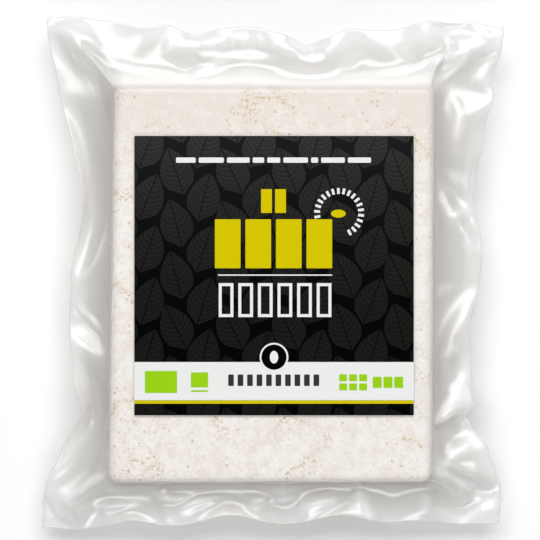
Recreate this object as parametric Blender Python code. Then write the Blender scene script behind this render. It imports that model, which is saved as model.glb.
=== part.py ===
"""A pressed block of tofu, vacuum sealed in a clear flat pouch, with a square paper label.

Lengths are in metres. +Z is up and +Y runs towards the pouch's top seal. The pack lies on its
back, label up, and the origin is on the base, under the middle of the pouch.

The pouch is one closed solid: the outer skin of the film, with the block filling its middle. It
is laid out in stations that run right round the pack. Each station is one line from the face of
the block over its edge, down its wall and out across the flange to the pouch's rim, then back
in underneath.
"""

import math

import bmesh
import bpy
from mathutils import Vector

MM = 0.001

# The block of tofu, as the film draws it in.
BLOCK_THICKNESS = 24.0 * MM
BLOCK_EDGE_RADIUS = 1.6 * MM
BLOCK_CORNER_RADIUS = 2.6 * MM
BLOCK_CORNERS = (
    Vector((-45.4, 54.1)) * MM,
    Vector((46.1, 53.8)) * MM,
    Vector((45.5, -59.4)) * MM,
    Vector((-47.0, -59.7)) * MM,
)

# The pouch's four corners, clockwise from the top left: x, y and height above the table.
POUCH_CORNERS = (
    Vector((-65.6, 74.3, 9.5)) * MM,
    Vector((66.9, 71.6, 12.5)) * MM,
    Vector((65.9, -72.3, 8.0)) * MM,
    Vector((-66.9, -73.8, 6.5)) * MM,
)
SEAL_HEIGHT = 11.5 * MM
FLANGE_THICKNESS = 0.6 * MM

# How far the block's thickness draws each side of the pouch in, and how long the side takes to
# swing in from its corners: top, right, bottom, left.
SIDE_PULL = (1.6 * MM, 6.3 * MM, 0.6 * MM, 7.9 * MM)
SIDE_SWING = (42.0 * MM, 40.0 * MM, 40.0 * MM, 36.0 * MM)

# Folds that scallop each side: distance from the side's first corner, how deep the rim dips
# inwards, half the fold's width, and how far the rim rises there (all in millimetres).
SIDE_FOLDS = (
    (
        (8, -0.5, 9, 0.5),
        (27, 1.0, 9, 1.0),
        (43.5, 2.3, 9, -1.2),
        (52, 0.5, 6, 0.2),
        (67.5, 1.6, 7.5, 1.2),
        (76, 4.4, 9, -1.6),
        (83, 1.6, 5, 0.6),
        (97, 0.4, 7, 0.3),
        (111, -1.9, 10, 1.6),
        (122, -1.2, 8, 0.6),
    ),
    (
        (14, 1.2, 8, -1.0),
        (22, -0.4, 8, 1.0),
        (49, 2.4, 14, -1.4),
        (66, -0.2, 9, 1.6),
        (88, 2.5, 16, 0.6),
        (104, 2.6, 16, 0.8),
        (112.5, 2.6, 2.6, -1.4),
        (116, 3.0, 6, -0.8),
        (133, -1.3, 11, 0.0),
    ),
    (
        (3, -0.5, 5, 0.0),
        (11, -0.7, 8, -0.8),
        (24, 0.4, 7, 0.9),
        (46, 2.5, 13, 2.2),
        (62, -0.3, 7, -1.2),
        (78, 2.8, 14, 2.4),
        (94, -0.3, 6, 0.0),
        (106, 1.6, 9, 1.6),
        (123, -0.9, 10, -0.9),
    ),
    (
        (12, -1.3, 10, 0.0),
        (35.5, 3.2, 12, 1.8),
        (47, 0.6, 7, 0.0),
        (60, -0.3, 10, -1.2),
        (92, 3.0, 20, 1.4),
        (104, 0.8, 9, 0.4),
        (123, -1.6, 13, -1.2),
    ),
)

# The film's way down the block's wall and out on to the flange: distance out from the wall, and
# how much of the drop from the face to the flange is still left there.
FALL = (
    (0.5 * MM, 0.52),
    (1.6 * MM, 0.26),
    (3.6 * MM, 0.09),
    (6.6 * MM, 0.02),
)
FLANGE_RINGS = 3

# At each corner the spare film stands up as one ridge between the block and the pouch's corner.
RIDGE_WIDTH = 8.0 * MM

CORNER_STEPS = 7
SIDE_STEP = 3.0 * MM

# The label, stuck on the film over the block's face.
LABEL_SIZE = 80.0 * MM
LABEL_THICKNESS = 0.2 * MM
LABEL_CORNER_RADIUS = 0.6 * MM
LABEL_CENTRE = Vector((0.4, -0.5)) * MM
LABEL_GAP = 0.3 * MM


def swell(distance):
    """A rounded hump: 1 at its middle and 0 from a distance of 1 outwards."""
    return 0.5 + 0.5 * math.cos(math.pi * min(abs(distance), 1.0))


def ease(share):
    """0 up to share 0, 1 from share 1, and a smooth swing between."""
    return 1.0 - swell(max(share, 0.0))


def side_frame(side):
    """A side's first corner, its direction, the direction inwards and its length, seen in plan."""
    start = POUCH_CORNERS[side].to_2d()
    end = POUCH_CORNERS[(side + 1) % 4].to_2d()
    along = (end - start).normalized()
    return start, along, Vector((along.y, -along.x)), (end - start).length


def rim_point(side, distance):
    """The point on the pouch's rim, this far along one side."""
    start, along, inward, length = side_frame(side)
    from_corner = min(distance, length - distance)
    drawn_in = ease(from_corner / SIDE_SWING[side])
    depth = SIDE_PULL[side] * drawn_in
    share = distance / length
    corner_height = POUCH_CORNERS[side].z * (1 - share) + POUCH_CORNERS[(side + 1) % 4].z * share
    height = corner_height + (SEAL_HEIGHT - corner_height) * drawn_in
    for place, dip, half_width, rise in SIDE_FOLDS[side]:
        amount = swell((distance - place * MM) / (half_width * MM)) * MM
        depth += dip * amount
        height += rise * amount
    return (start + along * distance + inward * depth).to_3d() + Vector((0, 0, height))


def block_arc_centre(corner):
    """The centre of the rounding at one corner of the block's outline."""
    here = BLOCK_CORNERS[corner]
    to_next = (BLOCK_CORNERS[(corner + 1) % 4] - here).normalized()
    to_last = (BLOCK_CORNERS[corner - 1] - here).normalized()
    return here + (to_next + to_last) * BLOCK_CORNER_RADIUS


def side_stations(side):
    """Pairs of points, one on the block's outline and one on the rim, from corner to corner."""
    start, along, inward, length = side_frame(side)
    outward = -inward
    first = block_arc_centre(side)
    last = block_arc_centre((side + 1) % 4)
    first_reach = (first - start).dot(along)
    last_reach = (last - start).dot(along)
    stations = []
    for step in range(CORNER_STEPS):
        share = step / CORNER_STEPS
        turn = math.radians(45) * (1 - share)
        on_block = first + (outward * math.cos(turn) - along * math.sin(turn)) * BLOCK_CORNER_RADIUS
        stations.append((on_block, rim_point(side, first_reach * share)))
    middle_steps = round((last_reach - first_reach) / SIDE_STEP)
    for step in range(middle_steps + 1):
        share = step / middle_steps
        on_block = first.lerp(last, share) + outward * BLOCK_CORNER_RADIUS
        distance = first_reach + (last_reach - first_reach) * share
        stations.append((on_block, rim_point(side, distance)))
    for step in range(1, CORNER_STEPS):
        share = step / CORNER_STEPS
        turn = math.radians(45) * share
        on_block = last + (outward * math.cos(turn) + along * math.sin(turn)) * BLOCK_CORNER_RADIUS
        stations.append((on_block, rim_point(side, last_reach + (length - last_reach) * share)))
    return stations


def ridge_share(rim):
    """How much a station lies on a corner ridge: 1 on the ridge and 0 beside it."""
    nearest = min((rim - corner).to_2d().length for corner in POUCH_CORNERS)
    return swell(nearest / RIDGE_WIDTH)


def film_line(on_block, rim, edge_height, facing):
    """One station of the upper (facing 1) or lower (facing -1) film, from its face to the rim."""
    out = (rim.to_2d() - on_block).normalized()
    reach = (rim.to_2d() - on_block).length
    face_height = edge_height - facing * BLOCK_EDGE_RADIUS
    corner_cut = BLOCK_EDGE_RADIUS * (1 - math.sqrt(0.5))
    points = [
        (-BLOCK_EDGE_RADIUS, edge_height),
        (-corner_cut, edge_height - facing * corner_cut),
        (0.0, face_height),
    ]
    wall_and_flange = list(FALL)
    fall_end = FALL[-1][0]
    for ring in range(1, FLANGE_RINGS + 1):
        wall_and_flange.append((fall_end + (reach - fall_end) * ring / FLANGE_RINGS, 0.0))
    ridge = ridge_share(rim) if facing > 0 else 0.0
    for distance, drop_left in wall_and_flange:
        share = distance / reach
        flange = SEAL_HEIGHT + (rim.z - SEAL_HEIGHT) * share ** 1.3 + facing * FLANGE_THICKNESS / 2
        drop_left += ((1 - share) - drop_left) * ridge
        points.append((distance, flange + (face_height - flange) * drop_left))
    return [(on_block + out * distance).to_3d() + Vector((0, 0, z)) for distance, z in points]


def closed_rings(name, rings):
    """A closed body whose skin runs ring by ring, with a flat cap on the first and last ring."""
    build = bmesh.new()
    loops = [[build.verts.new(point) for point in ring] for ring in rings]
    for upper, lower in zip(loops, loops[1:]):
        for index in range(len(upper)):
            build.faces.new((upper[index - 1], upper[index], lower[index], lower[index - 1]))
    build.faces.new(loops[0])
    build.faces.new(reversed(loops[-1]))
    bmesh.ops.recalc_face_normals(build, faces=build.faces)
    mesh = bpy.data.meshes.new(name)
    build.to_mesh(mesh)
    build.free()
    body = bpy.data.objects.new(name, mesh)
    bpy.context.collection.objects.link(body)
    return body


def finish(body, color, roughness):
    """Give a body its own material."""
    material = bpy.data.materials.new(body.name)
    material.use_nodes = True
    shader = material.node_tree.nodes["Principled BSDF"]
    shader.inputs["Base Color"].default_value = (*color, 1.0)
    shader.inputs["Roughness"].default_value = roughness
    shader.inputs["Metallic"].default_value = 0.0
    body.data.materials.append(material)


def make_pouch():
    """The film with the block inside: faces, walls and flange as one skin."""
    upper = []
    lower = []
    for side in range(4):
        for on_block, rim in side_stations(side):
            upper.append(film_line(on_block, rim, BLOCK_THICKNESS, 1))
            lower.append(film_line(on_block, rim, 0.0, -1))
    rings = list(zip(*upper)) + list(reversed(list(zip(*lower))))
    pouch = closed_rings("vacuum_pouch", rings)
    pouch.data.shade_smooth()
    pouch.data.set_sharp_from_angle(angle=math.radians(40))
    finish(pouch, (0.80, 0.76, 0.71), 0.25)


def make_label():
    """The paper label: a thin square with barely rounded corners."""
    inset = LABEL_SIZE / 2 - LABEL_CORNER_RADIUS
    outline = []
    for quarter, (side_x, side_y) in enumerate(((1, 1), (-1, 1), (-1, -1), (1, -1))):
        for step in range(4):
            angle = math.radians(90 * quarter + 30 * step)
            round_off = Vector((math.cos(angle), math.sin(angle))) * LABEL_CORNER_RADIUS
            outline.append(LABEL_CENTRE + Vector((side_x, side_y)) * inset + round_off)
    underside = BLOCK_THICKNESS + LABEL_GAP
    heights = (underside + LABEL_THICKNESS, underside)
    label = closed_rings("front_label", [[(x, y, z) for x, y in outline] for z in heights])
    finish(label, (0.012, 0.012, 0.012), 0.45)


for old in list(bpy.data.objects):
    bpy.data.objects.remove(old, do_unlink=True)
make_pouch()
make_label()
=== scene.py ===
"""The looks of a vacuum-packed block of tofu: a clear film pouch, the pressed block, a paper label.

The sections follow the pack as it is put together: block, film, label, print, then the studio.
Sizes are in millimetres, and MM turns them into the metres that the meshes use.
"""

import math

import bmesh
import bpy
import numpy as np
from mathutils import Matrix, Vector


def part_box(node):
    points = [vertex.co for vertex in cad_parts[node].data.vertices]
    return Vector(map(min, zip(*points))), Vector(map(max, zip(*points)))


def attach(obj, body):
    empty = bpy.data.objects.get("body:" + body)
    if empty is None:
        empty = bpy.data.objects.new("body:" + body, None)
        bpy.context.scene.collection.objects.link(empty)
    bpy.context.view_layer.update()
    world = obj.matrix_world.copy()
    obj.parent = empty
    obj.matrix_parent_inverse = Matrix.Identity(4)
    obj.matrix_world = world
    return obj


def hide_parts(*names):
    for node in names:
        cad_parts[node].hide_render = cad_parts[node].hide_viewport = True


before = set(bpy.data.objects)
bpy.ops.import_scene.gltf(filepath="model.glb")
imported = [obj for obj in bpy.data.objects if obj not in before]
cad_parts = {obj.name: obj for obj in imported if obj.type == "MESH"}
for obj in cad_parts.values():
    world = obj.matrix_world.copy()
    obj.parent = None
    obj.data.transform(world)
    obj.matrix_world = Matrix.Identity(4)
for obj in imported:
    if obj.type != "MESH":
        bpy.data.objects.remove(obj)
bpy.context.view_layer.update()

# ------------------------------------------------------------------------------ pressed block
# Firm tofu, pressed in a box and cut to size: an off-white curd, close and slightly crumbly, with
# tan specks of bean skin along its fine cracks. Its edges are soft where the film bears on them.

MM = 0.001
BLOCK_CORNERS = np.array(((-45.4, 54.1), (46.1, 53.8), (45.5, -59.4), (-47.0, -59.7)))
BLOCK_FOOT, BLOCK_THICKNESS = 0.2, 23.85
BLOCK_EDGE_RADIUS = 2.2
BLOCK_CORNER_RADIUS = 2.6


def outline_distances(plan):
    """How far points lie outside each of the block's four sides, and those sides' directions out."""
    distances = []
    directions = []
    for corner in range(4):
        start = BLOCK_CORNERS[corner]
        along = BLOCK_CORNERS[(corner + 1) % 4] - start
        along = along / np.linalg.norm(along)
        out = np.array((-along[1], along[0]))
        distances.append((plan - start) @ out)
        directions.append(out)
    return distances, np.array(directions)


def block_distance(points):
    """Distance of points outside the rounded block, and the direction out of it at each point."""
    (top, right, bottom, left), directions = outline_distances(points[..., :2])
    across = np.maximum(right, left) + BLOCK_CORNER_RADIUS
    down = np.maximum(top, bottom) + BLOCK_CORNER_RADIUS
    across_out = directions[np.where(right > left, 1, 3)]
    down_out = directions[np.where(top > bottom, 0, 2)]
    over_x, over_y = np.maximum(across, 0), np.maximum(down, 0)
    corner = np.hypot(over_x, over_y)
    plan = corner + np.minimum(np.maximum(across, down), 0) - BLOCK_CORNER_RADIUS
    blend = over_x[..., None] * across_out + over_y[..., None] * down_out
    side_out = np.where((across > down)[..., None], across_out, down_out)
    plan_out = np.where((corner > 0)[..., None], blend / np.maximum(corner, 1e-9)[..., None], side_out)

    height = points[..., 2] - BLOCK_FOOT - BLOCK_THICKNESS / 2
    wall = plan + BLOCK_EDGE_RADIUS
    face = np.abs(height) - BLOCK_THICKNESS / 2 + BLOCK_EDGE_RADIUS
    over_wall, over_face = np.maximum(wall, 0), np.maximum(face, 0)
    edge = np.hypot(over_wall, over_face)
    distance = edge + np.minimum(np.maximum(wall, face), 0) - BLOCK_EDGE_RADIUS
    flat = edge < 1e-9
    wall_share = np.where(flat, wall > face, over_wall / np.maximum(edge, 1e-9))
    face_share = np.where(flat, wall <= face, over_face / np.maximum(edge, 1e-9))
    out = np.concatenate(
        (plan_out * wall_share[..., None], (face_share * np.sign(height))[..., None]), axis=-1
    )
    return distance, plan, out


CURD_INSET = 0.05
CURD_CELLS = (128, 158, 32)


def curd_masks(tree, place):
    """Nodes, the same in the mesh and in the finish, for cracks, specks and the slow mottle."""
    make, join = tree.nodes.new, tree.links.new

    def noise(scale, detail, vector):
        node = make("ShaderNodeTexNoise")
        node.inputs["Scale"].default_value = scale
        node.inputs["Detail"].default_value = detail
        join(vector, node.inputs["Vector"])
        return node

    def ranged(value, low, high, low_out=0.0, high_out=1.0):
        node = make("ShaderNodeMapRange")
        node.interpolation_type = "SMOOTHSTEP"
        ends = {"From Min": low, "From Max": high, "To Min": low_out, "To Max": high_out}
        for name, amount in ends.items():
            node.inputs[name].default_value = amount
        join(value, node.inputs["Value"])
        return node.outputs["Result"]

    def math_node(operation, first, second):
        node = make("ShaderNodeMath")
        node.operation = operation
        for socket, value in zip(node.inputs, (first, second)):
            if isinstance(value, float):
                socket.default_value = value
            else:
                join(value, socket)
        return node.outputs[0]

    bent = noise(420.0, 4.0, place)

    def shifted(amount):
        shift = make("ShaderNodeVectorMath")
        shift.operation = "MULTIPLY_ADD"
        join(bent.outputs["Color"], shift.inputs[0])
        shift.inputs[1].default_value = (amount, amount, amount)
        join(place, shift.inputs[2])
        return shift.outputs[0]

    cells = make("ShaderNodeTexVoronoi")
    cells.feature = "DISTANCE_TO_EDGE"
    cells.inputs["Scale"].default_value = 72.0
    join(shifted(4.0 * MM), cells.inputs["Vector"])
    line = ranged(cells.outputs["Distance"], 0.012, 0.05, 1.0, 0.0)
    patches = ranged(noise(58.0, 3.0, place).outputs["Fac"], 0.46, 0.58)
    broken = ranged(noise(1300.0, 2.0, place).outputs["Fac"], 0.48, 0.57)
    cracks = math_node("MULTIPLY", math_node("MULTIPLY", line, patches), broken)

    grains = make("ShaderNodeTexVoronoi")
    grains.inputs["Scale"].default_value = 720.0
    join(shifted(1.0 * MM), grains.inputs["Vector"])
    dot = ranged(grains.outputs["Distance"], 0.16, 0.42, 1.0, 0.0)
    pick = make("ShaderNodeSeparateXYZ")
    join(grains.outputs["Color"], pick.inputs[0])
    crowd = ranged(noise(60.0, 3.0, place).outputs["Fac"], 0.36, 0.62, 0.91, 0.66)
    chosen = math_node("GREATER_THAN", pick.outputs[0], crowd)
    depth = ranged(pick.outputs[1], 0.0, 1.0, 0.2, 0.85)
    specks = math_node("MULTIPLY", math_node("MULTIPLY", dot, chosen), depth)
    mottle = noise(280.0, 5.0, place).outputs["Fac"]
    return cracks, specks, mottle


def curd_relief():
    """A tree that presses the cracks and pits into the block's surface."""
    tree = bpy.data.node_groups.new("curd_relief", "GeometryNodeTree")
    tree.interface.new_socket("Block", in_out="INPUT", socket_type="NodeSocketGeometry")
    depth = tree.interface.new_socket("Crack Depth", in_out="INPUT", socket_type="NodeSocketFloat")
    swing = tree.interface.new_socket("Unevenness", in_out="INPUT", socket_type="NodeSocketFloat")
    tree.interface.new_socket("Block", in_out="OUTPUT", socket_type="NodeSocketGeometry")
    make, join = tree.nodes.new, tree.links.new
    given, result = make("NodeGroupInput"), make("NodeGroupOutput")
    place = make("GeometryNodeInputPosition").outputs[0]
    cracks, specks, mottle = curd_masks(tree, place)
    deep = make("ShaderNodeMath")
    deep.operation = "ADD"
    join(cracks, deep.inputs[0])
    join(specks, deep.inputs[1])
    cut = make("ShaderNodeMath")
    cut.operation = "MULTIPLY"
    join(deep.outputs[0], cut.inputs[0])
    join(given.outputs["Crack Depth"], cut.inputs[1])
    wave = make("ShaderNodeMath")
    wave.operation = "MULTIPLY"
    join(mottle, wave.inputs[0])
    join(given.outputs["Unevenness"], wave.inputs[1])
    sink = make("ShaderNodeMath")
    sink.operation = "ADD"
    join(cut.outputs[0], sink.inputs[0])
    join(wave.outputs[0], sink.inputs[1])
    inwards = make("ShaderNodeVectorMath")
    inwards.operation = "SCALE"
    join(make("GeometryNodeInputNormal").outputs[0], inwards.inputs[0])
    join(sink.outputs[0], inwards.inputs["Scale"])
    flip = make("ShaderNodeVectorMath")
    flip.operation = "MULTIPLY"
    flip.inputs[1].default_value = (-1, -1, -1)
    join(inwards.outputs[0], flip.inputs[0])
    move = make("GeometryNodeSetPosition")
    join(given.outputs["Block"], move.inputs["Geometry"])
    join(flip.outputs[0], move.inputs["Offset"])
    join(move.outputs[0], result.inputs[0])
    return tree, {depth.identifier: 0.25 * MM, swing.identifier: 0.3 * MM}


def baked(thing, name, tree, values):
    """A plain mesh of the thing after one Geometry Nodes tree, as a new object."""
    modifier = thing.modifiers.new("making", "NODES")
    modifier.node_group = tree
    for identifier, value in values.items():
        modifier[identifier] = value
    bpy.context.view_layer.update()
    evaluated = thing.evaluated_get(bpy.context.evaluated_depsgraph_get())
    mesh = bpy.data.meshes.new_from_object(evaluated)
    mesh.name = name
    bpy.data.objects.remove(thing, do_unlink=True)
    made = bpy.data.objects.new(name, mesh)
    bpy.context.collection.objects.link(made)
    return made


def block_surface():
    """A fine closed skin of the block, before its relief."""
    across, along, high = CURD_CELLS
    lattice = np.indices((across + 1, along + 1, high + 1))
    on_skin = np.zeros(lattice.shape[1:], bool)
    for axis, last in enumerate(CURD_CELLS):
        on_skin |= (lattice[axis] == 0) | (lattice[axis] == last)
    number = np.full(on_skin.shape, -1)
    number[on_skin] = np.arange(on_skin.sum())
    u, v, w = (lattice[axis][on_skin] / CURD_CELLS[axis] for axis in range(3))
    top_left, top_right, low_right, low_left = BLOCK_CORNERS
    u, v = u[:, None], v[:, None]
    plan = v * ((1 - u) * top_left + u * top_right) + (1 - v) * ((1 - u) * low_left + u * low_right)
    points = np.column_stack((plan, BLOCK_FOOT + w * BLOCK_THICKNESS))
    for _ in range(3):
        distance, _, out = block_distance(points)
        points -= out * (distance + CURD_INSET)[:, None]
    faces = []
    for axis in range(3):
        for end, turn in ((0, -1), (-1, 1)):
            sheet = np.take(number, end, axis=axis)
            if axis == 1:
                turn = -turn
            quads = np.stack((sheet[:-1, :-1], sheet[1:, :-1], sheet[1:, 1:], sheet[:-1, 1:]), -1)
            faces.append(quads.reshape(-1, 4)[:, ::turn])
    mesh = bpy.data.meshes.new("tofu_block")
    mesh.from_pydata((points * MM).tolist(), [], np.concatenate(faces).tolist())
    mesh.shade_smooth()
    return mesh


block_skin = bpy.data.objects.new("block_skin", block_surface())
bpy.context.collection.objects.link(block_skin)
tofu_block = baked(block_skin, "tofu_block", *curd_relief())


def colour_mix(tree, factor, first, second):
    """A mix of two colours, each a socket or a plain colour."""
    mix = tree.nodes.new("ShaderNodeMix")
    mix.data_type = "RGBA"
    tree.links.new(factor, mix.inputs[0])
    for socket, value in zip((mix.inputs[6], mix.inputs[7]), (first, second)):
        if isinstance(value, tuple):
            socket.default_value = (*value, 1)
        else:
            tree.links.new(value, socket)
    return mix.outputs[2]


curd = bpy.data.materials.new("pressed_curd")
curd.use_nodes = True
nodes, links = curd.node_tree.nodes, curd.node_tree.links
curd_shader = nodes["Principled BSDF"]
curd_shader.inputs["Roughness"].default_value = 0.55
curd_shader.inputs["Subsurface Weight"].default_value = 0.12
curd_shader.inputs["Subsurface Radius"].default_value = (1.0, 0.8, 0.6)
curd_shader.inputs["Subsurface Scale"].default_value = 2.0 * MM
place = nodes.new("ShaderNodeTexCoord").outputs["Object"]
cracks, specks, mottle = curd_masks(curd.node_tree, place)
grain = nodes.new("ShaderNodeTexNoise")
grain.inputs["Scale"].default_value = 1100.0
grain.inputs["Detail"].default_value = 4.0
links.new(place, grain.inputs["Vector"])
both = nodes.new("ShaderNodeMath")
both.operation = "ADD"
links.new(mottle, both.inputs[0])
links.new(grain.outputs["Fac"], both.inputs[1])
tone = nodes.new("ShaderNodeMapRange")
tone.inputs["From Min"].default_value = 0.78
tone.inputs["From Max"].default_value = 1.16
links.new(both.outputs[0], tone.inputs["Value"])
split = nodes.new("ShaderNodeSeparateXYZ")
links.new(place, split.inputs[0])
damp = nodes.new("ShaderNodeMapRange")
for name, amount in (("From Min", 0.022), ("From Max", 0.050), ("To Max", 0.68)):
    damp.inputs[name].default_value = amount
links.new(split.outputs[1], damp.inputs["Value"])
dried = nodes.new("ShaderNodeMath")
dried.operation = "SUBTRACT"
dried.use_clamp = True
links.new(tone.outputs[0], dried.inputs[0])
links.new(damp.outputs[0], dried.inputs[1])
pale_curd = colour_mix(curd.node_tree, dried.outputs[0], (0.85, 0.79, 0.735), (0.95, 0.925, 0.895))
cracked = colour_mix(curd.node_tree, cracks, pale_curd, (0.68, 0.53, 0.36))
specked = colour_mix(curd.node_tree, specks, cracked, (0.66, 0.48, 0.30))
links.new(specked, curd_shader.inputs["Base Color"])
crumb = nodes.new("ShaderNodeBump")
crumb.inputs["Strength"].default_value = 0.35
crumb.inputs["Distance"].default_value = 0.15 * MM
links.new(grain.outputs["Fac"], crumb.inputs["Height"])
links.new(crumb.outputs["Normal"], curd_shader.inputs["Normal"])
tofu_block.data.materials.append(curd)
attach(tofu_block, "root")
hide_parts("vacuum_pouch")

# ------------------------------------------------------------------------------ pouch film
# Two webs of clear polyamide film, heat sealed together all round. The vacuum draws them on to
# the block and on to each other, and what is spare creases out towards the rim.

POUCH_CORNERS = np.array(
    ((-65.6, 74.3, 9.5), (66.9, 71.6, 12.5), (65.9, -72.3, 8.0), (-66.9, -73.8, 6.5))
)
SEAL_HEIGHT = 11.5
SIDE_PULL = (1.6, 6.3, 0.6, 7.9)
SIDE_SWING = (42.0, 40.0, 40.0, 36.0)
SIDE_FOLDS = (
    (
        (8, -0.5, 9, 0.5),
        (27, 1.0, 9, 1.0),
        (43.5, 2.3, 9, -1.2),
        (52, 0.5, 6, 0.2),
        (67.5, 1.6, 7.5, 1.2),
        (76, 4.4, 9, -1.6),
        (83, 1.6, 5, 0.6),
        (97, 0.4, 7, 0.3),
        (111, -1.9, 10, 1.6),
        (122, -1.2, 8, 0.6),
    ),
    (
        (14, 1.2, 8, -1.0),
        (22, -0.4, 8, 1.0),
        (49, 2.4, 14, -1.4),
        (66, -0.2, 9, 1.6),
        (88, 2.5, 16, 0.6),
        (104, 2.6, 16, 0.8),
        (112.5, 2.6, 2.6, -1.4),
        (116, 3.0, 6, -0.8),
        (133, -1.3, 11, 0.0),
    ),
    (
        (3, -0.5, 5, 0.0),
        (11, -0.7, 8, -0.8),
        (24, 0.4, 7, 0.9),
        (46, 2.5, 13, 2.2),
        (62, -0.3, 7, -1.2),
        (78, 2.8, 14, 2.4),
        (94, -0.3, 6, 0.0),
        (106, 1.6, 9, 1.6),
        (123, -0.9, 10, -0.9),
    ),
    (
        (12, -1.3, 10, 0.0),
        (35.5, 3.2, 12, 1.8),
        (47, 0.6, 7, 0.0),
        (60, -0.3, 10, -1.2),
        (92, 3.0, 20, 1.4),
        (104, 0.8, 9, 0.4),
        (123, -1.6, 13, -1.2),
    ),
)
BLOCK_GAP = 0.14
SHEET_GAP = 0.12
LOOSE_WITHIN = 1.3
SEAL_WIDTHS = (5.5, 3.5, 3.5, 3.5)
SPARE_FILM = 0.018
SPARE_FROM = -7.0
FIRST_COLUMNS, FIRST_ROWS = 48, 53
RIM_FINENESS = 0.36
PILLOW_COUNT, PILLOW_START, PILLOW_BELOW = 8, 46.0, 3.6
PILLOW_WIDTHS, PILLOW_SPACING, PILLOW_REACH, PILLOW_HEIGHT = (3.0, 5.6), 1.3, 2.6, 0.7
STIFF_SHEAR = 0.4
CREASE_WHITE = 0.2
# Painted light: a creamy, milky, brighter film by the block's upper (+Y) side, less by its right side and
# along the top strip, painted as the top softbox's glow off the block's wall. These give its side weights,
# its reach, and the top strip's start and fade.
PAINTED_GLOW_SIDE = np.array((0.40, 0.92))
PAINTED_GLOW_REACH, PAINTED_GLOW_FROM, PAINTED_GLOW_FADE = 8.0, 50.4, 3.6
# Painted shade: the film by the block's lower (-Y) side and beside its left and right flanks is darkened to
# stand for the shade there. These give its reach and the flanks' strength.
FOOT_REACH = 2.2
FLANK_REACH, FLANK_SHADE = 8.5, 0.42
# Each pass halves the mesh: (steps, millimetres of pull a step, rounds a step, bending stiffness)
PASSES = ((300, 0.04, 4, 0.1), (200, 0.02, 3, 0.14), (100, 0.01, 3, 0.18))
SOFTENING = 12
# Folds that the packer's hands and the seal bar set, each along a line: (its points, half width
# at its first and last point, height of its crest)
PLEATS = (
    (((-55.8, 67.0), (-52.9, 65.1), (-49.7, 62.2), (-47.5, 59.6), (-45.9, 56.1)), (1.1, 1.0), -0.7),
    (((-55.0, 64.5), (-49.9, 54.5), (-48.2, 46.2), (-47.4, 34.0)), (1.8, 1.6), -0.9),
    (((-49.1, 62.5), (-40.1, 59.0), (-30.5, 57.2), (-24.7, 56.0)), (1.6, 1.1), 0.8),
    (((-24.7, 56.4), (-26.4, 65.0)), (1.0, 6.4), -1.2),
    (((-24.1, 56.4), (-20.3, 58.7), (-15.8, 60.6), (-11.3, 60.3)), (1.0, 1.8), 0.9),
    (((-25.4, 62.9), (4.1, 62.3)), (1.1, 1.4), 0.55),
    (((-21.5, 60.0), (4.1, 60.2)), (1.0, 1.2), -0.4),
    (((25.8, 57.4), (36.7, 58.6), (46.9, 61.6), (52.7, 63.5), (58.1, 66.0)), (1.1, 1.6), 1.0),
    (((58.1, 65.0), (54.6, 61.2), (51.4, 58.2), (46.9, 54.5)), (1.2, 1.1), 0.8),
    (((40.2, 59.3), (40.8, 66.5)), (1.0, 5.0), -1.1),
    (((23.9, 56.6), (22.6, 62.5)), (1.0, 4.6), -1.0),
    (((47.6, 66.5), (55.9, 67.2), (59.4, 68.4)), (1.1, 1.3), 0.6),
    (((51.6, 53.5), (54.2, 46.0), (52.8, 36.0)), (1.2, 1.8), 0.9),
    (((50.0, 29.6), (57.5, 25.7)), (1.1, 2.2), 0.7),
    (((50.6, 15.5), (57.6, 20.0)), (1.0, 2.2), 0.8),
    (((55.0, 9.5), (58.5, 5.5)), (1.2, 1.6), 0.5),
    (((46.9, -7.2), (49.5, -4.5), (53.0, -3.5)), (1.0, 1.4), 0.6),
    (((48.8, -24.2), (54.6, -20.6)), (1.0, 1.6), 0.6),
    (((46.4, -44.6), (49.5, -40.2), (54.4, -32.5), (56.0, -27.0)), (1.0, 2.2), 1.1),
    (((46.2, -43.2), (58.5, -33.0)), (0.8, 4.2), 1.1),
    (((47.5, -56.5), (55.0, -50.5), (60.5, -44.5)), (1.2, 3.0), 0.9),
    (((46.6, -45.4), (56.4, -41.4)), (1.0, 1.8), -0.7),
    (((45.9, -58.1), (49.5, -57.6), (53.3, -60.0), (59.7, -64.3)), (1.0, 1.6), 0.8),
    (((45.2, -62.5), (43.7, -70.6)), (1.1, 1.9), 0.7),
    (((25.0, -60.2), (24.8, -73.0)), (0.6, 4.2), 2.4),
    (((20.4, -64.8), (6.5, -68.4)), (1.2, 3.2), 1.4),
    (((10.4, -63.3), (-1.7, -65.8), (-9.4, -68.6)), (1.0, 1.5), 0.7),
    (((-13.9, -64.9), (-22.2, -66.7), (-28.0, -69.4)), (1.0, 2.2), 1.2),
    (((-22.8, -63.6), (-28.4, -65.2), (-33.6, -63.4)), (1.0, 1.6), 1.1),
    (((-40.1, -66.7), (-52.9, -67.6)), (1.2, 1.4), 0.7),
    (((-47.4, -57.4), (-52.9, -60.4), (-59.9, -65.3)), (1.1, 1.6), 0.8),
    (((-62.0, -60.0), (-61.6, -72.5)), (3.0, 4.5), 0.9),
    (((59.5, -62.5), (62.0, -71.5)), (3.0, 4.0), 0.8),
    (((-57.7, -7.2), (-52.9, -13.3), (-49.7, -17.1)), (1.0, 0.6), 1.0),
    (((-58.5, -12.5), (-54.0, -16.5), (-50.0, -21.5)), (2.2, 1.4), -1.3),
    (((-55.0, -40.4), (-48.8, -42.6)), (1.8, 1.2), -0.7),
)


def swell(distance):
    """A rounded hump: 1 at its middle and 0 from a distance of 1 outwards."""
    return 0.5 + 0.5 * np.cos(np.pi * np.minimum(np.abs(distance), 1.0))


def spread(count):
    """Shares from 0 to 1 across the pouch, closer together towards its rim."""
    even = np.linspace(0, 1, count)
    return even - RIM_FINENESS * np.sin(2 * np.pi * even) / (2 * np.pi)


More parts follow.
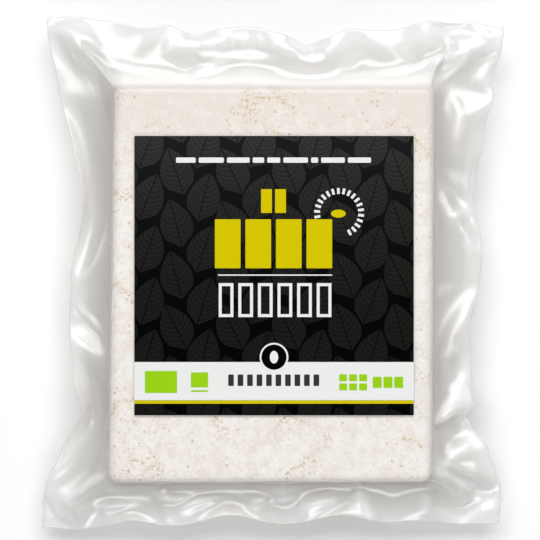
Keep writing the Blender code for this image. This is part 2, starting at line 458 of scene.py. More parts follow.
def rim_side(side, count):
    """Points along one side of the pouch's rim, and that side's true length."""
    first, last = POUCH_CORNERS[side], POUCH_CORNERS[(side + 1) % 4]
    length = np.linalg.norm((last - first)[:2])
    along = (last - first)[:2] / length
    inward = np.array((along[1], -along[0]))
    place = np.linspace(0, length, 2001)
    drawn_in = 1 - swell(np.minimum(place, length - place) / SIDE_SWING[side])
    depth = SIDE_PULL[side] * drawn_in
    height = first[2] + (last[2] - first[2]) * place / length
    height = height + (SEAL_HEIGHT - height) * drawn_in
    for middle, dip, half_width, rise in SIDE_FOLDS[side]:
        amount = swell((place - middle) / half_width)
        depth = depth + dip * amount
        height = height + rise * amount
    line = np.column_stack((first[:2] + place[:, None] * along + depth[:, None] * inward, height))
    run = np.concatenate(([0], np.cumsum(np.linalg.norm(np.diff(line, axis=0), axis=1))))
    stops = run[-1] * spread(count)
    return np.column_stack([np.interp(stops, run, line[:, axis]) for axis in range(3)]), run[-1]


class Film:
    """Both webs of the pouch as grids of points, front then back, held at the rim."""

    def __init__(self, columns, rows, points=None):
        top, self.top = rim_side(0, columns)
        right, self.right = rim_side(1, rows)
        bottom, self.bottom = rim_side(2, columns)
        left, self.left = rim_side(3, rows)
        bottom, left = bottom[::-1], left[::-1]
        u, v = spread(columns)[None, :, None], spread(rows)[:, None, None]
        flat = (1 - v) * top + v * bottom + (1 - u) * left[:, None] + u * right[:, None]
        flat -= (1 - u) * ((1 - v) * top[0] + v * bottom[0]) + u * ((1 - v) * top[-1] + v * bottom[-1])
        self.flat = flat
        self.points = self.lifted(flat) if points is None else points
        self.free = np.zeros((2, rows, columns))
        self.free[:, 1:-1, 1:-1] = 1
        self.points = np.where(self.free[..., None] > 0, self.points, flat)
        self.facing = np.array((1.0, -1.0))[:, None, None]

        u, v = u[..., 0], v[..., 0]
        plan = block_distance(flat)[1]
        spare = 1 + SPARE_FILM * np.clip((plan - SPARE_FROM) / 4, 0, 1)
        both = np.ones((2, 1, 1))
        self.across = ((1 - v) * self.top + v * self.bottom) * np.gradient(u, axis=1) * spare * both
        self.down = ((1 - u) * self.left + u * self.right) * np.gradient(v, axis=0) * spare * both
        self.slant = np.hypot(self.across, self.down)
        inset = (v * self.left, (1 - u) * self.top, (1 - v) * self.left, u * self.top)
        seal = [np.clip(1.5 - gone / width, 0, 1) for gone, width in zip(inset, SEAL_WIDTHS)]
        self.sealed = np.maximum(np.maximum(seal[0], seal[2]), np.maximum(seal[1], seal[3]))

    @staticmethod
    def lifted(flat):
        """The two webs loose over and under the block, before the air is drawn out."""
        plan = block_distance(flat)[1]
        lift = np.clip(1.2 - plan / 3, 0, 1) * np.clip(-plan, 0, 1)
        shake = np.random.default_rng(4).normal(0, 0.15, flat.shape[:2])
        webs = []
        for clear in (BLOCK_FOOT + BLOCK_THICKNESS + BLOCK_GAP, BLOCK_FOOT - BLOCK_GAP):
            web = flat.copy()
            web[..., 2] += (clear - web[..., 2]) * lift + shake
            webs.append(web)
        return np.stack(webs)

    def pull(self, one, other, rest, stiffness):
        """Bring linked points to their distance apart in the flat film."""
        a, b = self.points[one], self.points[other]
        between = b - a
        apart = np.sqrt(np.einsum("...i,...i->...", between, between))
        free_a, free_b = self.free[one], self.free[other]
        move = stiffness * (apart - rest) / np.maximum(apart * (free_a + free_b), 1e-9)
        between *= move[..., None]
        a += between * free_a[..., None]
        b -= between * free_b[..., None]

    def hold_lengths(self, stiffness):
        """One round of pulls along rows, columns and slants, and a little stiffness in bending."""
        rows, columns = self.free.shape[1:]
        every = slice(None)
        for first in (0, 1):
            near, far = slice(first, columns - 1, 2), slice(first + 1, columns, 2)
            self.pull((every, every, near), (every, every, far), self.across[:, :, near], 1.0)
            near, far = slice(first, rows - 1, 2), slice(first + 1, rows, 2)
            self.pull((every, near), (every, far), self.down[:, near], 1.0)
            rest = self.slant[:, near, :-1]
            left, right = slice(0, columns - 1), slice(1, columns)
            self.pull((every, near, left), (every, far, right), rest, STIFF_SHEAR)
            self.pull((every, near, right), (every, far, left), rest, STIFF_SHEAR)
        bend = self.hollow(self.hollow(self.points))
        self.points -= stiffness * bend * self.free[..., None]

    @staticmethod
    def hollow(values):
        """How far each point lies from the middle of its four neighbours."""
        out = np.zeros_like(values)
        around = values[:, :-2, 1:-1] + values[:, 2:, 1:-1] + values[:, 1:-1, :-2] + values[:, 1:-1, 2:]
        out[:, 1:-1, 1:-1] = around / 4 - values[:, 1:-1, 1:-1]
        return out

    def outward(self):
        """Each point's direction out of the pouch."""
        across, down = np.zeros_like(self.points), np.zeros_like(self.points)
        across[:, :, 1:-1] = self.points[:, :, 2:] - self.points[:, :, :-2]
        down[:, 1:-1] = self.points[:, 2:] - self.points[:, :-2]
        out = np.cross(down, across) * self.facing[..., None]
        return out / np.maximum(np.linalg.norm(out, axis=-1, keepdims=True), 1e-9)

    def keep_clear(self):
        """Keep the film off the block, the two webs apart, and the seals shut."""
        distance, _, out = block_distance(self.points)
        self.points += out * (np.maximum(BLOCK_GAP - distance, 0) * self.free)[..., None]
        front, back = self.points
        apart = front[..., 2] - back[..., 2]
        over = np.maximum(2 * SHEET_GAP - apart, 0) * self.free[0] / 2
        front[..., 2] += over
        back[..., 2] -= over
        tie = (self.sealed * self.free[0])[..., None]
        middle = (front + back) / 2
        lift = np.array((0, 0, SHEET_GAP))
        front += (middle + lift - front) * tie
        back += (middle - lift - back) * tie

    def settle(self, steps, vacuum, rounds, stiffness):
        """Draw the air out, step by step."""
        for _ in range(steps):
            self.points -= self.outward() * (vacuum * self.free)[..., None]
            for _ in range(rounds):
                self.hold_lengths(stiffness)
            self.keep_clear()

    def loose(self, within):
        """0 where the film is drawn on to the block, and 1 where it stands this far free of it."""
        return np.clip((block_distance(self.points)[0] - BLOCK_GAP) / within, 0, 1)

    def soften(self, rounds):
        """Round off what is finer than the film's own stiffness lets stand."""
        share = (0.5 * self.free * self.loose(0.5))[..., None]
        for _ in range(rounds):
            self.points += self.hollow(self.points) * share
        self.keep_clear()

    def finer(self):
        """The same film with a point added between each two."""
        _, rows, columns, _ = self.points.shape
        out = np.empty((2, 2 * rows - 1, 2 * columns - 1, 3))
        out[:, ::2, ::2] = self.points
        out[:, ::2, 1::2] = (self.points[:, :, 1:] + self.points[:, :, :-1]) / 2
        out[:, 1::2] = (out[:, 2::2] + out[:, :-2:2]) / 2
        return Film(2 * columns - 1, 2 * rows - 1, out)


def drawn_film():
    """The film after the vacuum, settled from a coarse mesh to a fine one."""
    film = Film(FIRST_COLUMNS, FIRST_ROWS)
    passes = PASSES
    for number, how in enumerate(passes):
        if number:
            film = film.finer()
        film.settle(*how)
    film.soften(SOFTENING)
    return film


def pleated(film):
    """How high the set folds stand out of each point of the front web."""
    plan = film.points[0, ..., :2]
    height = np.zeros(plan.shape[:2])
    for line, widths, crest in PLEATS:
        line = np.array(line)
        nearest = np.full(height.shape, 1e9)
        share = np.zeros(height.shape)
        for number, (start, end) in enumerate(zip(line[:-1], line[1:])):
            run = end - start
            place = np.clip((plan - start) @ run / (run @ run), 0, 1)
            gone = np.linalg.norm(plan - start - place[..., None] * run, axis=-1)
            share = np.where(gone < nearest, (number + place) / (len(line) - 1), share)
            nearest = np.minimum(gone, nearest)
        width = widths[0] + (widths[1] - widths[0]) * share
        ends = np.clip(4 * np.minimum(share, 1 - share), 0.25, 1)
        height += crest * ends * np.clip(1 - nearest / (1.6 * width), 0, 1) ** 1.2
    height = height[None]
    for _ in range(2):
        height = height + Film.hollow(height) * 0.5
    return height[0] * film.loose(0.8)[0]


def seal_pillows(film):
    """Small raised pillows that the seal bar leaves in a row along part of the top seal."""
    rows, columns = film.sealed.shape
    along = film.top * spread(columns)[None, :]
    below = film.left * spread(rows)[:, None]
    widths = np.random.default_rng(11).uniform(*PILLOW_WIDTHS, PILLOW_COUNT)
    height = np.zeros((rows, columns))
    start = PILLOW_START
    for width in widths:
        middle = start + width / 2
        across = swell((along - middle) / (width * 0.75))
        height = np.maximum(height, across)
        start += width + PILLOW_SPACING
    band = swell((below - PILLOW_BELOW) / PILLOW_REACH)
    return height * band * PILLOW_HEIGHT


def film_mesh(film):
    """One closed skin: the front web, the back web and the cut rim that joins them."""
    _, rows, columns, _ = film.points.shape
    rim = [(0, c) for c in range(columns)] + [(r, columns - 1) for r in range(1, rows)]
    rim += [(rows - 1, c) for c in range(columns - 2, -1, -1)] + [(r, 0) for r in range(rows - 2, 0, -1)]
    points = film.points.copy()
    folded = np.stack((pleated(film), np.zeros((rows, columns))))
    points += film.outward() * folded[..., None]
    points[0, ..., 2] += seal_pillows(film)
    for row, column in rim:
        points[0, row, column, 2] += SHEET_GAP
        points[1, row, column, 2] -= SHEET_GAP
    index = np.arange(2 * rows * columns).reshape(2, rows, columns)
    front = np.stack((index[0, :-1, :-1], index[0, 1:, :-1], index[0, 1:, 1:], index[0, :-1, 1:]), -1)
    back = np.stack((index[1, :-1, :-1], index[1, :-1, 1:], index[1, 1:, 1:], index[1, 1:, :-1]), -1)
    ring = np.array([index[0][place] for place in rim])
    under = np.array([index[1][place] for place in rim])
    edge = np.stack((ring, np.roll(ring, -1), np.roll(under, -1), under), -1)
    faces = np.concatenate((front.reshape(-1, 4), back.reshape(-1, 4), edge))
    mesh = bpy.data.meshes.new("pouch_film")
    mesh.from_pydata((points.reshape(-1, 3) * MM).tolist(), [], faces.tolist())
    mesh.shade_smooth()
    sharp = np.linalg.norm(Film.hollow(points), axis=-1)
    creased = np.clip(sharp / CREASE_WHITE, 0, 1)
    sealed = np.broadcast_to(film.sealed, sharp.shape)
    _, plan, out = block_distance(film.points)
    # Painted glow: strongest on the film by the block's upper side and nearest its walls, fading outwards.
    upwards = np.clip(out[..., :2] @ PAINTED_GLOW_SIDE, 0, 1)
    near_top = np.clip((film.points[..., 1] - PAINTED_GLOW_FROM) / PAINTED_GLOW_FADE, 0, 1)
    painted_glow = np.maximum(upwards, near_top / 2) * np.clip(1.4 - plan / PAINTED_GLOW_REACH, 0, 1)
    # Painted shade on the film below the block's lower side and beside its flanks, fading outwards.
    foot = np.clip(-out[..., 1], 0, 1) * np.clip(1.5 - plan / FOOT_REACH, 0, 1)
    flank = FLANK_SHADE * np.abs(out[..., 0]) * np.clip(1.3 - plan / FLANK_REACH, 0, 1)
    painted_shade = np.maximum(foot, flank) * film.loose(0.8)
    for name, values in (
        ("crease", creased), ("sealed", sealed), ("loose", film.loose(LOOSE_WITHIN)),
        ("painted_glow", painted_glow), ("painted_shade", painted_shade), ("folded", np.clip(folded, 0, 1)),
    ):
        mesh.attributes.new(name, "FLOAT", "POINT").data.foreach_set("value", values.ravel())
    return mesh


film = drawn_film()
pouch_film = bpy.data.objects.new("pouch_film", film_mesh(film))
bpy.context.collection.objects.link(pouch_film)

# The painted glow haze makes the film milkier and brighter where the painted glow lies.
TOUCHING_HAZE, LOOSE_HAZE, SEAL_HAZE, CREASE_HAZE, PAINTED_GLOW_HAZE = 0.03, 0.31, 0.16, 0.10, 0.54
# The fold haze makes raised fold crests milkier, part of their painted highlight.
FOLD_HAZE = 0.5
SLANT_HAZE = 0.6
TOUCHING_MIRROR, LOOSE_MIRROR = 0.02, 0.068
film_finish = bpy.data.materials.new("clear_film")
film_finish.use_nodes = True
nodes, links = film_finish.node_tree.nodes, film_finish.node_tree.links
body = nodes["Principled BSDF"]
body.inputs["Roughness"].default_value = 0.4
clear = nodes.new("ShaderNodeBsdfTransparent")
clear.inputs["Color"].default_value = (0.98, 0.978, 0.974, 1)


def more(value, times, plus):
    """Nodes for a value times a number, plus a number or another value."""
    step = nodes.new("ShaderNodeMath")
    step.operation = "MULTIPLY_ADD"
    links.new(value, step.inputs[0])
    step.inputs[1].default_value = times
    if isinstance(plus, float):
        step.inputs[2].default_value = plus
    else:
        links.new(plus, step.inputs[2])
    return step.outputs[0]


there = {}
for name in ("loose", "sealed", "crease", "painted_glow", "painted_shade", "folded"):
    there[name] = nodes.new("ShaderNodeAttribute")
    there[name].attribute_name = name
facing = nodes.new("ShaderNodeLayerWeight")
facing.inputs["Blend"].default_value = 0.5
slanted, glancing = nodes.new("ShaderNodeMath"), nodes.new("ShaderNodeMath")
for step, power in ((slanted, 2.0), (glancing, 5.0)):
    step.operation = "POWER"
    step.inputs[1].default_value = power
    links.new(facing.outputs["Facing"], step.inputs[0])
milk = more(slanted.outputs[0], SLANT_HAZE, TOUCHING_HAZE)
milk = more(there["loose"].outputs["Fac"], LOOSE_HAZE, milk)
milk = more(there["sealed"].outputs["Fac"], SEAL_HAZE, milk)
milk = more(there["crease"].outputs["Fac"], CREASE_HAZE, milk)
milk = more(there["painted_glow"].outputs["Fac"], PAINTED_GLOW_HAZE, milk)
milk = more(there["folded"].outputs["Fac"], FOLD_HAZE, milk)
film_tree = film_finish.node_tree
# Painted light: the haze colour turns creamy white where the painted glow lies.
glow_painted_colour = colour_mix(film_tree, there["painted_glow"].outputs["Fac"], (0.93, 0.922, 0.905), (1.0, 0.985, 0.96))
# Painted shade: the haze colour darkens to grey brown where the painted shade lies.
shaded = colour_mix(film_tree, there["painted_shade"].outputs["Fac"], glow_painted_colour, (0.48, 0.45, 0.42))
# Painted light: the haze colour turns white on the seals and on raised fold crests, which lifts the seals
# out of their shade and paints highlights along the crests.
painted_light_share = more(there["sealed"].outputs["Fac"], 0.8, there["folded"].outputs["Fac"])
painted_light_colour = colour_mix(film_tree, painted_light_share, shaded, (1.0, 0.998, 0.99))
links.new(painted_light_colour, body.inputs["Base Color"])
haze = nodes.new("ShaderNodeMixShader")
links.new(milk, haze.inputs["Fac"])
gloss = nodes.new("ShaderNodeBsdfGlossy")
gloss.inputs["Roughness"].default_value = 0.24
shine = nodes.new("ShaderNodeMixShader")
mirror = more(glancing.outputs[0], 0.6, more(there["loose"].outputs["Fac"], LOOSE_MIRROR, TOUCHING_MIRROR))
links.new(clear.outputs[0], haze.inputs[1])
links.new(body.outputs[0], haze.inputs[2])
links.new(mirror, shine.inputs["Fac"])
links.new(haze.outputs[0], shine.inputs[1])
links.new(gloss.outputs[0], shine.inputs[2])
links.new(shine.outputs[0], nodes["Material Output"].inputs["Surface"])
pouch_film.data.materials.append(film_finish)
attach(pouch_film, "root")
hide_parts("vacuum_pouch")

# ------------------------------------------------------------------------------ paper label
# A square of coated white paper, glued to the film over the block's face. It is printed near
# black almost to its edge, which stays white where the sheet was cut.

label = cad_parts["front_label"]
label_low, label_high = (Vector(corner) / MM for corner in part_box("front_label"))
LABEL_MIDDLE = (label_low + label_high) / 2
LABEL_HALF = (label_high.x - label_low.x) / 2
LABEL_FACE = label_high.z
PAPER_EDGE = 0.07
# The black's top colour is lighter than its foot colour, a painted sheen from the top light.
BLACK_SHEEN_TOP, BLACK_FOOT = (0.0100, 0.0104, 0.0102), (0.0001, 0.0002, 0.0004)


def ink_finish(name, colour, foot_colour=None, roughness=0.42):
    """Offset ink under a thin varnish. With a foot colour, the given colour is a painted sheen from the top
    light, lightest at the label's top and darkening to the foot colour down the label.
    """
    ink = bpy.data.materials.new(name)
    ink.use_nodes = True
    shader = ink.node_tree.nodes["Principled BSDF"]
    shader.inputs["Base Color"].default_value = (*colour, 1)
    shader.inputs["Roughness"].default_value = roughness
    shader.inputs["Specular IOR Level"].default_value = 0.03
    if foot_colour is not None:
        nodes, links = ink.node_tree.nodes, ink.node_tree.links
        split = nodes.new("ShaderNodeSeparateXYZ")
        links.new(nodes.new("ShaderNodeTexCoord").outputs["Object"], split.inputs[0])
        fade = nodes.new("ShaderNodeMapRange")
        fade.inputs["From Min"].default_value = (LABEL_MIDDLE.y - LABEL_HALF) * MM
        fade.inputs["From Max"].default_value = (LABEL_MIDDLE.y + LABEL_HALF) * MM
        links.new(split.outputs[1], fade.inputs["Value"])
        sheen_fall = nodes.new("ShaderNodeMath")
        sheen_fall.operation = "POWER"
        sheen_fall.inputs[1].default_value = 3.0
        links.new(fade.outputs[0], sheen_fall.inputs[0])
        sheen_painted_colour = colour_mix(ink.node_tree, sheen_fall.outputs[0], foot_colour, colour)
        links.new(sheen_painted_colour, shader.inputs["Base Color"])
    return ink


paper = ink_finish("label_paper", (0.8, 0.8, 0.79), roughness=0.6)
label.data.materials.clear()
label.data.materials.append(paper)

# ------------------------------------------------------------------------------ label print
# Flat fields of ink on the label. The black field carries a tone-on-tone pattern of leaves, with
# plain blocks, bars and ticks in yellow, white and green over it, and a white band at its foot.

# Each ink lies one level above the ink it covers.
INK = 0.02
FIELD_LEVEL, LEAF_LEVEL, BAR_LEVEL, BADGE_LEVEL = 0, 1, 2, 3


def plate(outline, level, thickness=1.0):
    """A closed flat plate over an outline, at one level of ink above the label's face."""
    low, high = level * INK, (level + thickness) * INK
    shape = bmesh.new()
    base = [shape.verts.new((x, y, low)) for x, y in outline]
    top = [shape.verts.new((x, y, high)) for x, y in outline]
    shape.faces.new(reversed(base))
    shape.faces.new(top)
    for k in range(len(base)):
        shape.faces.new((base[k - 1], base[k], top[k], top[k - 1]))
    return shape


def rounded(width, height, radius, middle=(0.0, 0.0)):
    """The outline of a rectangle with rounded corners, counter-clockwise."""
    points = []
    for quarter, (side_x, side_y) in enumerate(((1, 1), (-1, 1), (-1, -1), (1, -1))):
        for step in range(4):
            angle = math.radians(90 * quarter + 30 * step)
            x = side_x * (width / 2 - radius) + radius * math.cos(angle)
            y = side_y * (height / 2 - radius) + radius * math.sin(angle)
            points.append((middle[0] + x, middle[1] + y))
    return points


def disc(radius, middle=(0.0, 0.0), stretch=1.0, steps=40):
    """The outline of a disc, or of an oval."""
    turns = [2 * math.pi * k / steps for k in range(steps)]
    return [(middle[0] + radius * math.cos(a), middle[1] + radius * stretch * math.sin(a)) for a in turns]


def one_mesh(name, shapes, middle=None):
    """Join shapes into one mesh. Unless told otherwise, they are drawn about the label's middle."""
    joined = bmesh.new()
    for shape in shapes:
        part = bpy.data.meshes.new("part")
        shape.to_mesh(part)
        shape.free()
        joined.from_mesh(part)
        bpy.data.meshes.remove(part)
    if middle is None:
        middle = Vector((LABEL_MIDDLE.x, LABEL_MIDDLE.y, LABEL_FACE))
    for vert in joined.verts:
        vert.co = (vert.co + middle) * MM
    mesh = bpy.data.meshes.new(name)
    joined.to_mesh(mesh)
    joined.free()
    return mesh


def print_on(name, thing, finish):
    """Set a printed piece, given as a mesh or an object, on the label."""
    if isinstance(thing, bpy.types.Mesh):
        thing = bpy.data.objects.new(name, thing)
        bpy.context.collection.objects.link(thing)
    thing.data.materials.clear()
    thing.data.materials.append(finish)
    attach(thing, "root")
    return thing


FIELD_HALF = LABEL_HALF - PAPER_EDGE
black_ink = ink_finish("black_ink", BLACK_SHEEN_TOP, BLACK_FOOT)
field = rounded(2 * FIELD_HALF, 2 * FIELD_HALF, 0.3)
print_on("black_field", one_mesh("black_field", [plate(field, FIELD_LEVEL)]), black_ink)

# The leaf: two half blades beside a bare midrib, each cut across by slanting veins.
LEAF_LENGTH, LEAF_WIDTH = 14.4, 9.4
LEAF_VANES = 10
LEAF_RIB, LEAF_VEIN, LEAF_SLANT = 0.13, 0.17, 0.20


def leaf_shapes():
    """The vanes of one leaf, its middle at the origin and its tip along +Y."""
    def on_blade(out, share):
        """A point this far out towards the margin, on the vein that leaves the rib at this share."""
        along = min(share + LEAF_SLANT * out ** 1.6, 1.0)
        width = LEAF_WIDTH / 2 * math.sin(math.pi * max(along, 0.0) ** 0.85) ** 0.8
        return LEAF_RIB + max(width - LEAF_RIB, 0.0) * out, (along - 0.5) * LEAF_LENGTH

    shapes = []
    gap = LEAF_VEIN / LEAF_LENGTH
    outs = (0.0, 0.4, 0.75, 1.0)
    for number in range(LEAF_VANES):
        low, high = number / LEAF_VANES + gap, (number + 1) / LEAF_VANES
        for side in (1, -1):
            outline = [on_blade(out, low) for out in outs] + [on_blade(out, high) for out in outs[::-1]]
            outline = [(x * side, y) for x, y in outline]
            shapes.append(plate(outline[::side], LEAF_LEVEL, 0.5))
    return shapes


def leaf_scatter():
    """A tree that sets out a leaf in staggered rows, each turned a little apart."""
    tree = bpy.data.node_groups.new("leaf_scatter", "GeometryNodeTree")
    tree.interface.new_socket("Leaf", in_out="INPUT", socket_type="NodeSocketGeometry")
    named = {}
    for name, kind, value in (
        ("Spread", "NodeSocketFloat", 104.0 * MM),
        ("Columns", "NodeSocketInt", 14),
        ("Rows", "NodeSocketInt", 8),
        ("Lean", "NodeSocketFloat", 0.36),
        ("Seed", "NodeSocketInt", 3),
    ):
        socket = tree.interface.new_socket(name, in_out="INPUT", socket_type=kind)
        named[socket.identifier] = value
    tree.interface.new_socket("Leaves", in_out="OUTPUT", socket_type="NodeSocketGeometry")
    make, join = tree.nodes.new, tree.links.new
    given, result = make("NodeGroupInput"), make("NodeGroupOutput")
    grid = make("GeometryNodeMeshGrid")
    join(given.outputs["Spread"], grid.inputs["Size X"])
    join(given.outputs["Spread"], grid.inputs["Size Y"])
    join(given.outputs["Columns"], grid.inputs["Vertices X"])
    join(given.outputs["Rows"], grid.inputs["Vertices Y"])

    def calc(operation, first, second=0.0, third=0.0):
        node = make("ShaderNodeMath")
        node.operation = operation
        for socket, value in zip(node.inputs, (first, second, third)):
            if isinstance(value, float):
                socket.default_value = value
            else:
                join(value, socket)
        return node.outputs[0]

    number = make("GeometryNodeInputIndex").outputs[0]
    row = calc("MODULO", number, given.outputs["Rows"])
    column = calc("FLOOR", calc("DIVIDE", number, given.outputs["Rows"]))
    odd_column = calc("MODULO", column, 2.0)
    step = calc("DIVIDE", given.outputs["Spread"], calc("SUBTRACT", given.outputs["Rows"], 1.0))
    wobble = make("FunctionNodeRandomValue")
    wobble.data_type = "FLOAT"
    wobble.inputs[2].default_value = -0.12
    wobble.inputs[3].default_value = 0.12
    join(given.outputs["Seed"], wobble.inputs["Seed"])
    lean_way = calc("SUBTRACT", calc("MULTIPLY", odd_column, 2.0), 1.0)
    turn = calc("ADD", calc("MULTIPLY", lean_way, given.outputs["Lean"]), wobble.outputs[1])
    shift = make("ShaderNodeCombineXYZ")
    join(calc("MULTIPLY", calc("MULTIPLY", odd_column, 0.5), step), shift.inputs[1])
    moved = make("GeometryNodeSetPosition")
    join(grid.outputs["Mesh"], moved.inputs["Geometry"])
    join(shift.outputs[0], moved.inputs["Offset"])
    rotation = make("ShaderNodeCombineXYZ")
    join(turn, rotation.inputs[2])
    place = make("GeometryNodeInstanceOnPoints")
    join(moved.outputs[0], place.inputs["Points"])
    join(given.outputs["Leaf"], place.inputs["Instance"])
    join(rotation.outputs[0], place.inputs["Rotation"])
    real = make("GeometryNodeRealizeInstances")
    join(place.outputs[0], real.inputs[0])
    coat = make("GeometryNodeSetMaterial")
    coat.inputs["Material"].default_value = bpy.data.materials["leaf_ink"]
    join(real.outputs[0], coat.inputs["Geometry"])
    join(coat.outputs[0], result.inputs[0])
    return tree, named


def trimmed(thing, half):
    """Cut a flat pattern off square at the edges of the printed field."""
    shape = bmesh.new()
    shape.from_mesh(thing.data)
    for axis in (0, 1):
        for side in (1, -1):
            spot = Vector((0, 0, 0))
            spot[axis] = side * half * MM
            away = Vector((0, 0, 0))
            away[axis] = side
            everything = shape.verts[:] + shape.edges[:] + shape.faces[:]
            bmesh.ops.bisect_plane(shape, geom=everything, plane_co=spot, plane_no=away, clear_outer=True)
            bmesh.ops.holes_fill(shape, edges=shape.edges[:])
    middle = Vector((LABEL_MIDDLE.x, LABEL_MIDDLE.y, LABEL_FACE)) * MM
    bmesh.ops.translate(shape, verts=shape.verts[:], vec=middle)
    shape.to_mesh(thing.data)
    shape.free()


# The leaf ink too is lighter at the label's top than at its foot, a painted sheen from the top light.
leaf_ink = ink_finish("leaf_ink", (0.033, 0.033, 0.0305), (0.0088, 0.0088, 0.0078), roughness=0.5)
leaf = bpy.data.objects.new("leaf", one_mesh("one_leaf", leaf_shapes(), Vector((0, 0, 0))))
bpy.context.collection.objects.link(leaf)
leaf_pattern = baked(leaf, "leaf_pattern", *leaf_scatter())
trimmed(leaf_pattern, FIELD_HALF)
print_on("leaf_pattern", leaf_pattern, leaf_ink)

yellow_ink = ink_finish("yellow_ink", (0.65, 0.545, 0.0))
white_ink = ink_finish("white_ink", (0.83, 0.835, 0.82))
green_ink = ink_finish("green_ink", (0.315, 0.63, 0.009))
grey_ink = ink_finish("grey_ink", (0.035, 0.035, 0.035))


def bar(middle, width, height, radius=0.25, level=BAR_LEVEL):
    """A bar with barely rounded corners."""
    return plate(rounded(width, height, radius, middle), level)


def row(start, end, y, height, count, gap, level=BAR_LEVEL):
    """Bars of one width, evenly from start to end."""
    width = (end - start - gap * (count - 1)) / count
    middles = [start + width / 2 + (width + gap) * k for k in range(count)]
    return [bar((x, y), width, height, level=level) for x in middles]


def band(foot, top, level=BAR_LEVEL):
    """A band right across the printed field."""
    sides = ((-FIELD_HALF, foot), (FIELD_HALF, foot), (FIELD_HALF, top), (-FIELD_HALF, top))
    return plate(sides, level)


RING_MIDDLE, RING_RADIUS = Vector((18.6, 17.9, 0)), 6.3
title = row(-3.7, 3.4, 21.3, 6.8, 2, 0.9) + row(-16.9, 16.6, 9.1, 14.0, 4, 1.4)
title.append(plate(disc(2.1, (18.4, 17.7), 0.55), BAR_LEVEL))
print_on("title_blocks", one_mesh("title_blocks", title), yellow_ink)


def frame_shape(middle, width, height, stroke):
    """Four thin bars round an upright rectangle."""
    x, y = middle
    side = width / 2 - stroke / 2
    end = height / 2 - stroke / 2
    bars = [bar((x + s * side, y), stroke, height, 0.05) for s in (1, -1)]
    return bars + [bar((x, y + s * end), width - 2 * stroke, stroke, 0.05) for s in (1, -1)]


whites = [bar((0.3, 0.15), 32.6, 0.35, 0.05)]
for number in range(6):
    whites += frame_shape((-13.7 + 5.6 * number, -7.0), 4.2, 9.7, 0.85)
WORD_COUNT, WORD_GAP, LINE_START, LINE_LENGTH = 9, 0.9, -28.0, 55.7
word_lengths = np.random.default_rng(7).uniform(2.0, 8.0, WORD_COUNT)
word_lengths *= (LINE_LENGTH - WORD_GAP * (WORD_COUNT - 1)) / word_lengths.sum()
word_start = LINE_START
for length in word_lengths:
    whites.append(bar((word_start + length / 2, 33.0), length, 1.5, 0.3))
    word_start += length + WORD_GAP
for number in range(19):
    around = Matrix.Rotation(math.radians(190 - 14 * number), 4, "Z")
    to_ring = Matrix.Translation(RING_MIDDLE) @ around @ Matrix.Translation((RING_RADIUS, 0, 0))
    tick = bar((0, 0), 1.7, 0.75, 0.1)
    bmesh.ops.transform(tick, matrix=to_ring, verts=tick.verts[:])
    whites.append(tick)
EMBLEM_MIDDLE = (0, -23.3)
whites.append(band(-35.6, -24.7))
whites.append(plate(disc(4.1, EMBLEM_MIDDLE), 3))
whites.append(plate(disc(1.2, EMBLEM_MIDDLE, 1.5), 5))
print_on("white_print", one_mesh("white_print", whites), white_ink)
emblem = plate(disc(3.6, EMBLEM_MIDDLE), 4)
print_on("emblem_disc", one_mesh("emblem_disc", [emblem]), black_ink)

greens = [bar((-32.3, -30.4), 9.2, 6.3, 0.1, BADGE_LEVEL)]
greens.append(bar((-21.3, -29.8), 4.9, 4.3, 0.1, BADGE_LEVEL))
greens.append(bar((-21.3, -33.0), 4.9, 0.5, 0.1, BADGE_LEVEL))
greens += row(18.6, 26.6, -29.2, 2.0, 3, 0.6, BADGE_LEVEL)
greens += row(18.6, 26.6, -31.8, 2.0, 3, 0.6, BADGE_LEVEL)
greens += row(28.2, 36.9, -30.5, 3.2, 3, 0.5, BADGE_LEVEL)
print_on("green_print", one_mesh("green_print", greens), green_ink)
greys = row(-13.1, 12.9, -29.9, 3.3, 10, 1.1, BADGE_LEVEL)
print_on("grey_marks", one_mesh("grey_marks", greys), grey_ink)
print_on("yellow_rule", one_mesh("yellow_rule", [band(-36.6, -35.65)]), yellow_ink)

# ------------------------------------------------------------------------------ studio
# The pack lies on a white sweep under an even white sky. A wide softbox hangs over its top seal,
# with a weaker one in front and a faint strip at each side. The camera looks straight down.

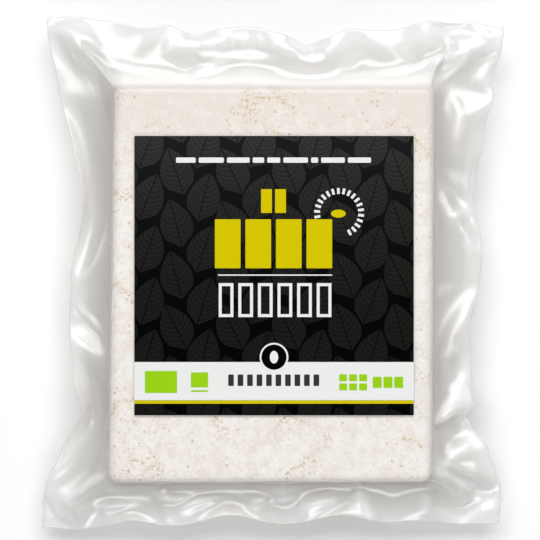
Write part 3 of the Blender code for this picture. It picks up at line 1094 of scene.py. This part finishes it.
floor_mesh = bpy.data.meshes.new("floor")
floor_mesh.from_pydata([(-1.5, -1.5, 0), (1.5, -1.5, 0), (1.5, 1.5, 0), (-1.5, 1.5, 0)], [], [(0, 1, 2, 3)])
floor = bpy.data.objects.new("floor", floor_mesh)
bpy.context.collection.objects.link(floor)
pale = bpy.data.materials.new("pale_floor")
pale.use_nodes = True
pale_shader = pale.node_tree.nodes["Principled BSDF"]
pale_shader.inputs["Base Color"].default_value = (1.0, 1.0, 1.0, 1)
pale_shader.inputs["Roughness"].default_value = 0.9
pale_shader.inputs["Specular IOR Level"].default_value = 0.0
floor.data.materials.append(pale)

world = bpy.data.worlds.new("studio")
bpy.context.scene.world = world
world.use_nodes = True
sky_nodes, sky_links = world.node_tree.nodes, world.node_tree.links
sky_split = sky_nodes.new("ShaderNodeSeparateXYZ")
sky_links.new(sky_nodes.new("ShaderNodeTexCoord").outputs["Generated"], sky_split.inputs[0])
overhead = sky_nodes.new("ShaderNodeMapRange")
overhead.interpolation_type = "SMOOTHSTEP"
for name, amount in zip(("From Min", "From Max", "To Min", "To Max"), (0.50, 0.98, 0.27, 0.20)):
    overhead.inputs[name].default_value = amount
sky_links.new(sky_split.outputs[2], overhead.inputs["Value"])
sky_links.new(overhead.outputs[0], sky_nodes["Background"].inputs["Strength"])
sky_nodes["Background"].inputs["Color"].default_value = (1, 1, 1, 1)


def softbox(name, place, aim, width, height, power):
    """A rectangular studio light that faces its aim."""
    light = bpy.data.lights.new(name, "AREA")
    light.shape = "RECTANGLE"
    light.size, light.size_y, light.energy = width, height, power
    box = bpy.data.objects.new(name, light)
    box.location = place
    box.rotation_euler = (Vector(aim) - Vector(place)).to_track_quat("-Z", "Y").to_euler()
    bpy.context.collection.objects.link(box)


softbox("top_light", (0.0, 0.55, 0.85), (0, 0, 0), 1.2, 0.6, 8.6)
softbox("left_light", (-0.85, 0.10, 0.50), (0, 0, 0), 0.3, 0.9, 0.2)
softbox("right_light", (0.85, 0.10, 0.50), (0, 0, 0), 0.3, 0.9, 0.5)
softbox("front_light", (0.0, -0.72, 0.70), (0, 0, 0), 0.8, 0.25, 2.9)

bpy.context.scene.view_settings.view_transform = "Standard"
camera_data = bpy.data.cameras.new("camera")
camera_data.sensor_width = 36.0
camera_data.lens = 227.6
camera = bpy.data.objects.new("camera", camera_data)
camera.location = (-0.75 * MM, 1.1 * MM, 1.0)
bpy.context.collection.objects.link(camera)
bpy.context.scene.camera = camera
